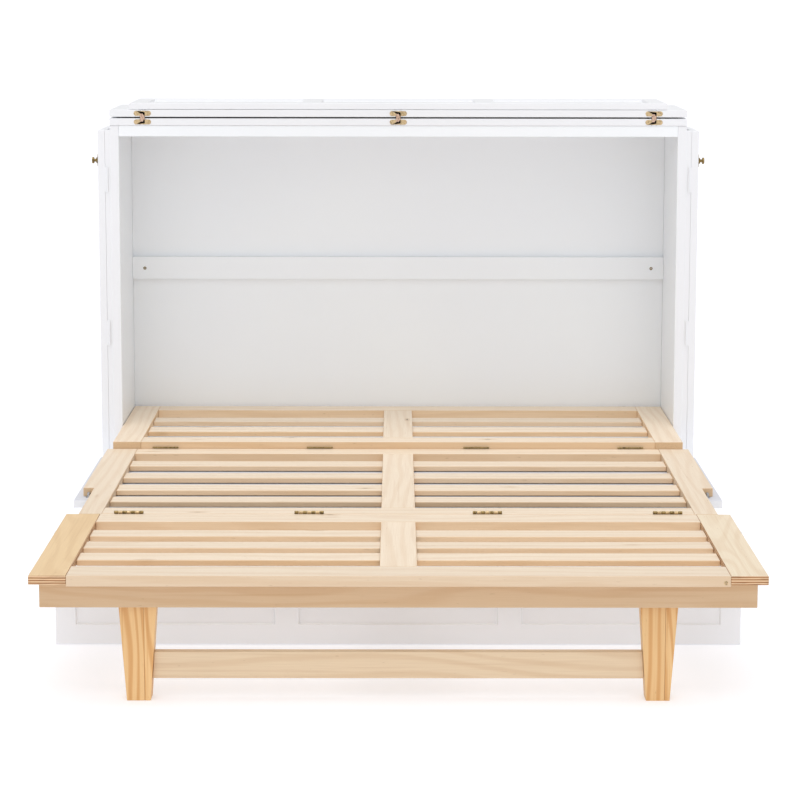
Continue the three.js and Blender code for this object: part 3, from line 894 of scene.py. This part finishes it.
def laminated_leg(node, side, sizes):
    """A tapered leg of two strips side by side, with an upright glue line two thirds of the way across."""
    low, high = low_high(node)
    place = points_of(frame["nodes"][node].data)
    bottom = place[place[:, 2] < low[2] + SAME_PLACE, 0]
    top = place[place[:, 2] > high[2] - SAME_PLACE, 0]
    glue = top.min() + 0.655 * np.ptp(top)
    line = 0.15 * MM
    strips = [
        [(low[2], bottom.min()), (low[2], glue - line), (high[2], glue - line), (high[2], top.min())],
        [(low[2], glue + line), (low[2], bottom.max()), (high[2], top.max()), (high[2], glue + line)],
    ]
    shells = [slab(strip, low[1], high[1], sizes.wood_ease * 0.6, Y) for strip in strips]
    piece = add_piece(f"{node}_finished", shells, finish("laminated_pine"), "legs", [node])

    def two_strips(points):
        """The right strip shows another stretch of tree and is paler, and the left leg is the paler one."""
        right = points[:, 0] > glue
        return right[:, None] * np.array([3.1, 0.7, 0.4]), np.where(right, 0.55, -0.45) - 0.5 * side

    add_grain(piece, Z, X, Y, strips=two_strips)


class WALLBED_OT_drawer(bpy.types.Operator):
    """The drawer's box, its wheels and the forks that hold them"""
    bl_idname = "wall_bed.drawer"
    bl_label = "Drawer"

    def execute(self, context):
        sizes = context.scene.wall_bed_sizes
        lacquer = finish("white_lacquer_on_fibreboard")
        for name in ("drawer_side_left", "drawer_side_right", "drawer_back", "drawer_bottom"):
            board(name, lacquer, "white_lacquer", sizes.lacquer_ease)
        forks = []
        for row in ("back", "front"):
            for word, _ in SIDES:
                node = f"drawer_wheel_{row}_{word}"
                wheel(node)
                forks += fork_shells(node)
        add_piece("caster_forks", forks, finish("zinc_plated_steel"), "drawer")
        return {"FINISHED"}


def wheel(node):
    """A caster's wheel: a tread with round shoulders, a web set in from it and a hub round the axle."""
    low, high = low_high(node)
    centre = (low + high) / 2
    half, radius = (high[0] - low[0]) / 2, (high[2] - low[2]) / 2
    shoulder = 3.5 * MM
    angle = np.linspace(0, math.pi / 2, 6)
    out, down = shoulder * (1 - np.sin(angle)), shoulder * (1 - np.cos(angle))
    rise = np.stack([-half + out, radius - down], -1)[::-1]
    web, hub, bore = half * 0.45, radius * 0.38, radius * 0.16
    face = [(-half, bore), (-half, hub), (-web, hub + 1 * MM), (-web, radius * 0.74), (-half, radius * 0.8)]
    left = np.concatenate([face, rise])
    shell = turned(np.concatenate([left, left[::-1] * (-1, 1)]), centre, X, around=48)
    rubber = finish("grey_rubber")
    add_piece(f"{node}_finished", [shell], rubber, BODY_OF[node], [node], smooth=True)


def fork_shells(node):
    """A fixed caster's fork: a plate under the drawer, two cheeks down to the axle, and the axle's heads."""
    low, high = low_high(node)
    centre = (low + high) / 2
    roof = low_high("drawer_bottom")[0][2] - 0.3 * MM
    thick = 2 * MM
    plate = np.array([19 * MM, 27 * MM])
    cheek_top, cheek_foot, cheek_drop = 17 * MM, 8 * MM, 7 * MM
    outer = (high[0] - low[0]) / 2 + 1.2 * MM
    top = roof - thick
    shells = [box_slab(np.array([*centre[:2] - plate, top]), np.array([*centre[:2] + plate, roof]), 0.6 * MM)]
    foot = centre[2] - cheek_drop
    outline = [(centre[1] - cheek_top, top), (centre[1] - cheek_foot, foot),
               (centre[1] + cheek_foot, foot), (centre[1] + cheek_top, top)]
    for side in (-1, 1):
        x0, x1 = sorted((centre[0] + side * outer, centre[0] + side * (outer + thick)))
        shells.append(slab(outline, x0, x1, 0.5 * MM, X))
        start, end = sorted((side * (outer + thick), side * (outer + 2.2 * thick)))
        shells.append(knuckle(start, end, 4.5 * MM, centre, X))
    shells.append(knuckle(-outer, outer, 2.6 * MM, centre, X))
    return shells


class WALLBED_OT_lid_hinges(bpy.types.Operator):
    """The lid's brass hinges: a screwed plate on each board's edge and a link that turns between them"""
    bl_idname = "wall_bed.lid_hinges"
    bl_label = "Lid hinges"

    def execute(self, context):
        brass, copper = finish("satin_brass"), finish("copper_plated_steel")
        for i in LID_HINGES:
            for kind, upward in (("fixed", 1), ("flap", -1)):
                node = f"flip_hinge_{kind}_plate_{i}"
                shells = plate_shells(node, upward)
                add_piece(f"{node}_finished", shells, brass, BODY_OF[node], [node])
            node = f"flip_hinge_link_{i}"
            add_piece(f"{node}_finished", link_shells(node), copper, BODY_OF[node], [node])
        return {"FINISHED"}


def plate_shells(node, upward):
    """A plate with round ends and a slot for the link, and a screw near each end that lies almost flush."""
    low, high = low_high(node)
    link_low, link_high = low_high(node.replace("fixed_plate", "link").replace("flap_plate", "link"))
    radius = (high[2] - low[2]) / 2
    middle = (low + high) / 2
    slot_half = (link_high[0] - link_low[0]) / 2 + 0.3 * MM
    slot_end = (link_low[2] if upward > 0 else link_high[2]) - upward * 0.4 * MM
    mouth = high[2] if upward > 0 else low[2]
    back = low[2] if upward > 0 else high[2]
    turn = np.linspace(-math.pi / 2, math.pi / 2, 13) * upward
    right = np.stack([high[0] - radius + radius * np.cos(turn), middle[2] + radius * np.sin(turn)], -1)
    left = np.stack([low[0] + radius - radius * np.cos(turn), middle[2] + radius * np.sin(turn)], -1)
    notch = [(middle[0] + slot_half, mouth), (middle[0] + slot_half, slot_end),
             (middle[0] - slot_half, slot_end), (middle[0] - slot_half, mouth)]
    outline = np.concatenate([right, notch, left[::-1], [(middle[0], back)]])
    shells = [slab(outline[:, ::-1], low[1], high[1], 0.25 * MM, Y)]
    screw_place, screw_radius = 15.5 * MM, 4.3 * MM
    for side in (-1, 1):
        place = (middle[0] + side * screw_place, low[1], middle[2])
        shells.append(screw_head(place, Y, -1, screw_radius, rise=0.04))
    return shells


def link_shells(node):
    """The link between two plates: a strip with round ends and a domed pivot near each."""
    low, high = low_high(node)
    middle = (low + high) / 2
    radius = (high[0] - low[0]) / 2
    turn = np.linspace(0, math.pi, 13)
    top = np.stack([middle[0] + radius * np.cos(turn), high[2] - radius + radius * np.sin(turn)], -1)
    bottom = np.stack([middle[0] - radius * np.cos(turn), low[2] + radius - radius * np.sin(turn)], -1)
    outline = np.concatenate([top, bottom])
    shells = [slab(outline[:, ::-1], low[1], high[1], 0.3 * MM, Y)]
    pivot = [(-0.9 * MM, 1.2 * MM), (-0.7 * MM, 2.4 * MM), (0.3 * MM, 2.8 * MM)]
    for z in (high[2] - radius, low[2] + radius):
        shells.append(turned(pivot, (middle[0], low[1], z), Y))
    return shells


INNER_HINGE = 214 * MM


class WALLBED_OT_deck_hinges(bpy.types.Operator):
    """The brass butt hinges at the deck's two joints, four to a joint, each half on its own section"""
    bl_idname = "wall_bed.deck_hinges"
    bl_label = "Deck hinges"

    def execute(self, context):
        sizes = context.scene.wall_bed_sizes
        old, bright = finish("antique_brass"), finish("satin_brass")
        for joint, bodies, outer, radius, knuckles, finishes in (
                ("bed_fold", ("cabinet", "middle"), 636 * MM, sizes.small_hinge_radius, 5, (old, old)),
                ("front_fold", ("middle", "front"), 647 * MM, sizes.hinge_radius, 7, (old, bright))):
            pin = JOINTS[joint]["pos_m"]
            halves = {body: [] for body in bodies}
            for x in (-outer, -INNER_HINGE, INNER_HINGE, outer):
                centre = (x, pin[1], pin[2])
                parts = butt_hinge(centre, X, sizes.hinge_length, radius, knuckles, bodies)
                for body, side in zip(bodies, (1, -1)):
                    halves[body] += parts[body] + [joint_leaf(joint, centre, side, sizes)]
            for body, metal in zip(bodies, finishes):
                add_piece(f"{joint}_hinges_{body}", halves[body], metal, body)
        return {"FINISHED"}


def butt_hinge(centre, axis, whole, radius, knuckles, bodies):
    """A butt hinge's barrel: knuckles that belong to its two bodies by turns, with a small gap between."""
    edges = np.linspace(-whole / 2, whole / 2, knuckles + 1)
    gap = 0.25 * MM
    parts = {body: [] for body in bodies}
    for i in range(knuckles):
        parts[bodies[i % 2]].append(knuckle(edges[i] + gap, edges[i + 1] - gap, radius, centre, axis))
    return parts


def joint_leaf(joint, centre, side, sizes):
    """A hinge's leaf, which goes down from the barrel into the gap between two sections."""
    if joint == "bed_fold":
        rear, front = "rear_joint_rail", "middle_rear_rail"
    else:
        rear, front = "middle_front_rail", "front_joint_rail"
    thick, depth, drop = 0.8 * MM, 16 * MM, 0.5 * MM
    wall = low_high(rear)[0][1] if side > 0 else low_high(front)[1][1]
    y0, y1 = sorted((wall, wall - side * thick))
    top = low_high(front)[1][2] - drop
    low = np.array([centre[0] - sizes.hinge_length / 2, y0, top - depth])
    high = np.array([centre[0] + sizes.hinge_length / 2, y1, top])
    return box_slab(low, high, 0.2 * MM)


class WALLBED_OT_door_hinges(bpy.types.Operator):
    """The side doors' slim lacquered hinges, three to a door: a barrel, a fin to the batten and a strip"""
    bl_idname = "wall_bed.door_hinges"
    bl_label = "Door hinges"

    def execute(self, context):
        sizes = context.scene.wall_bed_sizes
        lacquer = finish("white_lacquer_on_fibreboard")
        batten_face = low_high("side_left")[0][1] + sizes.batten_setback
        radius = sizes.door_hinge_radius
        tall = np.array([0, 0, sizes.hinge_length / 2])
        thin = np.array([0.4 * MM, 0, 0])
        for word, side in SIDES:
            pin = JOINTS[f"door_{word}_fold"]["pos_m"]
            door = f"door_{word}"
            low, high = low_high(door)
            x0, x1 = sorted((pin[0] + side * 2 * MM, pin[0] + side * 10 * MM))
            halves = {"cabinet": [], door: []}
            for share in (0.12, 0.5, 0.88):
                centre = np.array([pin[0], pin[1], low[2] + share * (high[2] - low[2])])
                parts = butt_hinge(centre, Z, sizes.hinge_length, radius, 5, ("cabinet", door))
                fin_end = np.array([centre[0], batten_face, centre[2]])
                fin = box_slab(centre - tall - thin, fin_end + tall + thin, 0.1 * MM)
                strip = box_slab(np.array([x0, low[1] - 0.8 * MM, centre[2]]) - tall,
                                 np.array([x1, low[1] - 0.1 * MM, centre[2]]) + tall, 0.1 * MM)
                halves["cabinet"] += parts["cabinet"] + [fin]
                halves[door] += parts[door] + [strip]
            for body, kind in (("cabinet", "cabinet"), (door, "door")):
                name = f"door_hinges_{word}_{kind}"
                add_piece(name, halves[body], lacquer, body)
        return {"FINISHED"}


class WALLBED_OT_catches(bpy.types.Operator):
    """The brass knob catch on each door and the small steel catch at each step of the middle section"""
    bl_idname = "wall_bed.catches"
    bl_label = "Catches"

    def execute(self, context):
        sizes = context.scene.wall_bed_sizes
        for word, side in SIDES:
            door_catch(word, side, sizes)
            bed_catch(word, side)
        return {"FINISHED"}


def door_catch(word, side, sizes):
    """A knob catch: an upright oval back plate, a dark collar, a thin neck and a flat round knob."""
    low, high = low_high(f"door_{word}")
    face = high[0] if side > 0 else low[0]
    centre = np.array([face, low[1] + 13 * MM, high[2] - 84 * MM])
    plate_radius, plate_reach, plate_thick = 9 * MM, 9.5 * MM, 1.6 * MM
    turn = np.linspace(0, 2 * math.pi, 32, endpoint=False)
    rise = plate_radius * np.sin(turn) + np.sign(np.sin(turn)) * plate_reach
    outline = np.stack([centre[1] + plate_radius * np.cos(turn), centre[2] + rise], -1)
    plate_face = face + side * plate_thick
    x0, x1 = sorted((face, plate_face))
    shells = [slab(outline, x0, x1, 0.5 * MM, X)]
    knob = sizes.knob_radius / MM
    profile = np.array([
        (1.6, 7.5), (3.6, 8.5), (5.0, 8.2), (5.6, 4.6), (10.8, 4.2), (11.4, knob - 0.4),
        (12.2, knob), (16.2, knob), (17.0, knob - 1), (17.2, 3.0)]) * MM
    profile[:, 0] *= side
    shells.append(turned(profile if side > 0 else profile[::-1], centre, X, around=32))
    for up in (-1, 1):
        place = (plate_face, centre[1], centre[2] + up * 14.6 * MM)
        shells.append(screw_head(place, X, side, 2.6 * MM))
    add_piece(f"door_catch_{word}", shells, finish("antique_brass"), f"door_{word}", smooth=True)


def bed_catch(word, side):
    """A small steel catch on the deck panel, in the corner that the side board's step leaves."""
    step_y, narrow = step_of(f"middle_side_board_{word}", side)
    panel_top = low_high("face_panel")[1][2]
    centre = np.array([narrow + side * 12 * MM, step_y - 8.5 * MM, panel_top])
    half, thick = np.array([7 * MM, 7.5 * MM, 0]), np.array([0, 0, 3 * MM])
    post = [(3 * MM, 4.6 * MM), (11 * MM, 4.2 * MM), (13 * MM, 3.2 * MM), (13.6 * MM, 1.2 * MM)]
    shells = [box_slab(centre - half, centre + half + thick, 0.6 * MM), turned(post, centre, Z)]
    add_piece(f"bed_catch_{word}", shells, finish("zinc_plated_steel"), "middle")


class WALLBED_OT_fixings(bpy.types.Operator):
    """The screws that show, the legs' brackets and bolts, and the drop panel's hinges"""
    bl_idname = "wall_bed.fixings"
    bl_label = "Fixings"

    def execute(self, context):
        radius = context.scene.wall_bed_sizes.screw_radius
        low, high = low_high("back_rail")
        height = (low[2] + high[2]) / 2 - 0.5 * MM
        shells = [screw_head((side * 745 * MM, low[1], height), Y, -1, radius) for _, side in SIDES]
        add_piece("wall_rail_screws", shells, finish("antique_brass"), "cabinet")
        low, high = low_high("foot_rail")
        shell = screw_head((high[0] - 11 * MM, low[1], low[2] + 9 * MM), Y, -1, radius)
        add_piece("foot_rail_screw", [shell], finish("satin_brass"), "front")
        leg_brackets()
        drop_panel_hinges()
        return {"FINISHED"}


def leg_brackets():
    """Steel angle brackets on the back of the apron that carry each leg on a bolt."""
    pin = JOINTS["leg_fold"]["pos_m"]
    apron_back = low_high("apron")[1][1] + 0.2 * MM
    thick, flange, ease = 2 * MM, 24 * MM, 0.6 * MM
    below, above = pin[2] - 14 * MM, pin[2] + 12 * MM
    cheek_end, cheek_foot = pin[1] + 12 * MM, pin[2] - 12 * MM
    outline = [(apron_back, below), (cheek_end, cheek_foot), (cheek_end, above), (apron_back, above)]
    shells, bolts = [], []
    for word, side in SIDES:
        low, high = low_high(f"leg_{word}")
        inner = min(abs(low[0]), abs(high[0])) - 1 * MM
        x0, x1 = sorted((side * inner, side * (inner - thick)))
        shells.append(slab(outline, x0, x1, ease, X))
        x0, x1 = sorted((side * (inner - thick), side * (inner - flange)))
        shells.append(box_slab(
            np.array([x0, apron_back, below]), np.array([x1, apron_back + thick, above]), ease))
        start, end = sorted((-side * (thick + 4 * MM), 0))
        bolts.append(knuckle(start, end, 6.5 * MM, (side * inner, pin[1], pin[2]), X))
    steel = finish("zinc_plated_steel")
    add_piece("leg_brackets", shells, steel, "front")
    add_piece("leg_bolts", bolts, steel, "front")


def drop_panel_hinges():
    """Three small brass hinges along the drop panel's back edge."""
    pin = JOINTS["drop_panel_fold"]["pos_m"]
    outer, whole, radius = 520 * MM, 60 * MM, 2 * MM
    halves = {"flap": [], "drop_panel": []}
    for x in (-outer, 0, outer):
        parts = butt_hinge((x, pin[1], pin[2]), X, whole, radius, 5, ("flap", "drop_panel"))
        for body, shells in parts.items():
            halves[body] += shells
    for body, shells in halves.items():
        add_piece(f"drop_panel_hinges_{body}", shells, finish("antique_brass"), body)


FLOOR_REACH = 400
FLOOR_LEVEL = -0.2 * MM
SKY = 0.6
# Each softbox: its strength, its turn and its spread in degrees.
SOFTBOXES = {
    "key_softbox": (0.45, (52, -4, 0), 60),
    "overhead_softbox": (1.3, (10, -2, 0), 50),
}
CAMERA_PLACE = (-0.0065, -6.1286, 1.5576)
CAMERA_PITCH, CAMERA_YAW, CAMERA_ROLL = (math.radians(degrees) for degrees in (90 - 7.856, -0.1009, 0.0706))
CAMERA_LENS, CAMERA_FILM, CAMERA_SHIFT, CAMERA_SIGHT = 109.526, 36, -0.1, 1000


class WALLBED_OT_stage(bpy.types.Operator):
    """The pale floor, the soft lights and the camera"""
    bl_idname = "wall_bed.stage"
    bl_label = "Stage"

    def execute(self, context):
        scene = context.scene
        scene.view_settings.view_transform = "Standard"
        mesh = bpy.data.meshes.new("floor")
        corners = [(x * FLOOR_REACH, y * FLOOR_REACH, FLOOR_LEVEL)
                   for x, y in ((-1, -1), (1, -1), (1, 1), (-1, 1))]
        mesh.from_pydata(corners, [], [(0, 1, 2, 3)])
        mesh.materials.append(finish("studio_paper"))
        floor = bpy.data.objects.new("floor", mesh)
        scene.collection.objects.link(floor)
        world = bpy.data.worlds.new("studio")
        world.use_nodes = True
        background = world.node_tree.nodes["Background"]
        background.inputs["Color"].default_value = (1, 1, 1, 1)
        background.inputs["Strength"].default_value = SKY
        scene.world = world
        for name, (strength, turn, spread) in SOFTBOXES.items():
            add_sun(name, strength, turn, spread)
        camera = bpy.data.objects.new("camera", bpy.data.cameras.new("camera"))
        scene.collection.objects.link(camera)
        camera.location = CAMERA_PLACE
        aim = Matrix.Rotation(CAMERA_YAW, 3, "Z") @ Matrix.Rotation(CAMERA_PITCH, 3, "X")
        camera.rotation_euler = (aim @ Matrix.Rotation(CAMERA_ROLL, 3, "Z")).to_euler()
        camera.data.lens = CAMERA_LENS
        camera.data.sensor_width = CAMERA_FILM
        camera.data.shift_y = CAMERA_SHIFT
        camera.data.clip_end = CAMERA_SIGHT
        scene.camera = camera
        return {"FINISHED"}


def add_sun(name, strength, turn, spread):
    """A very wide sun, which lights every part of the floor alike, with soft shadows."""
    lamp = bpy.data.lights.new(name, "SUN")
    lamp.energy = strength
    lamp.angle = math.radians(spread)
    made = bpy.data.objects.new(name, lamp)
    made.rotation_euler = [math.radians(angle) for angle in turn]
    bpy.context.scene.collection.objects.link(made)


class WALLBED_PT_panel(bpy.types.Panel):
    """Lists the wall bed's pieces"""
    bl_idname = "WALLBED_PT_panel"
    bl_label = "Cabinet wall bed"
    bl_space_type = "VIEW_3D"
    bl_region_type = "UI"
    bl_category = "Wall bed"

    def draw(self, context):
        for operator in OPERATORS:
            self.layout.operator(operator.bl_idname)
        for group in (context.scene.wall_bed_sizes, context.scene.wall_bed_colours):
            for name in group.__annotations__:
                self.layout.prop(group, name)


OPERATORS = (
    WALLBED_OT_stage, WALLBED_OT_cabinet, WALLBED_OT_panels, WALLBED_OT_doors, WALLBED_OT_deck,
    WALLBED_OT_legs, WALLBED_OT_drawer, WALLBED_OT_lid_hinges, WALLBED_OT_deck_hinges,
    WALLBED_OT_door_hinges, WALLBED_OT_catches, WALLBED_OT_fixings,
)
CLASSES = (WallBedSizes, WallBedColours, *OPERATORS, WALLBED_PT_panel)


def register():
    for cls in CLASSES:
        bpy.utils.register_class(cls)
    bpy.types.Scene.wall_bed_sizes = bpy.props.PointerProperty(type=WallBedSizes)
    bpy.types.Scene.wall_bed_colours = bpy.props.PointerProperty(type=WallBedColours)


def unregister():
    del bpy.types.Scene.wall_bed_sizes
    del bpy.types.Scene.wall_bed_colours
    for cls in reversed(CLASSES):
        bpy.utils.unregister_class(cls)


def main():
    register()
    for operator in OPERATORS:
        group, name = operator.bl_idname.split(".")
        getattr(getattr(bpy.ops, group), name)()
    bpy.context.view_layer.update()


if __name__ == "__main__":
    main()
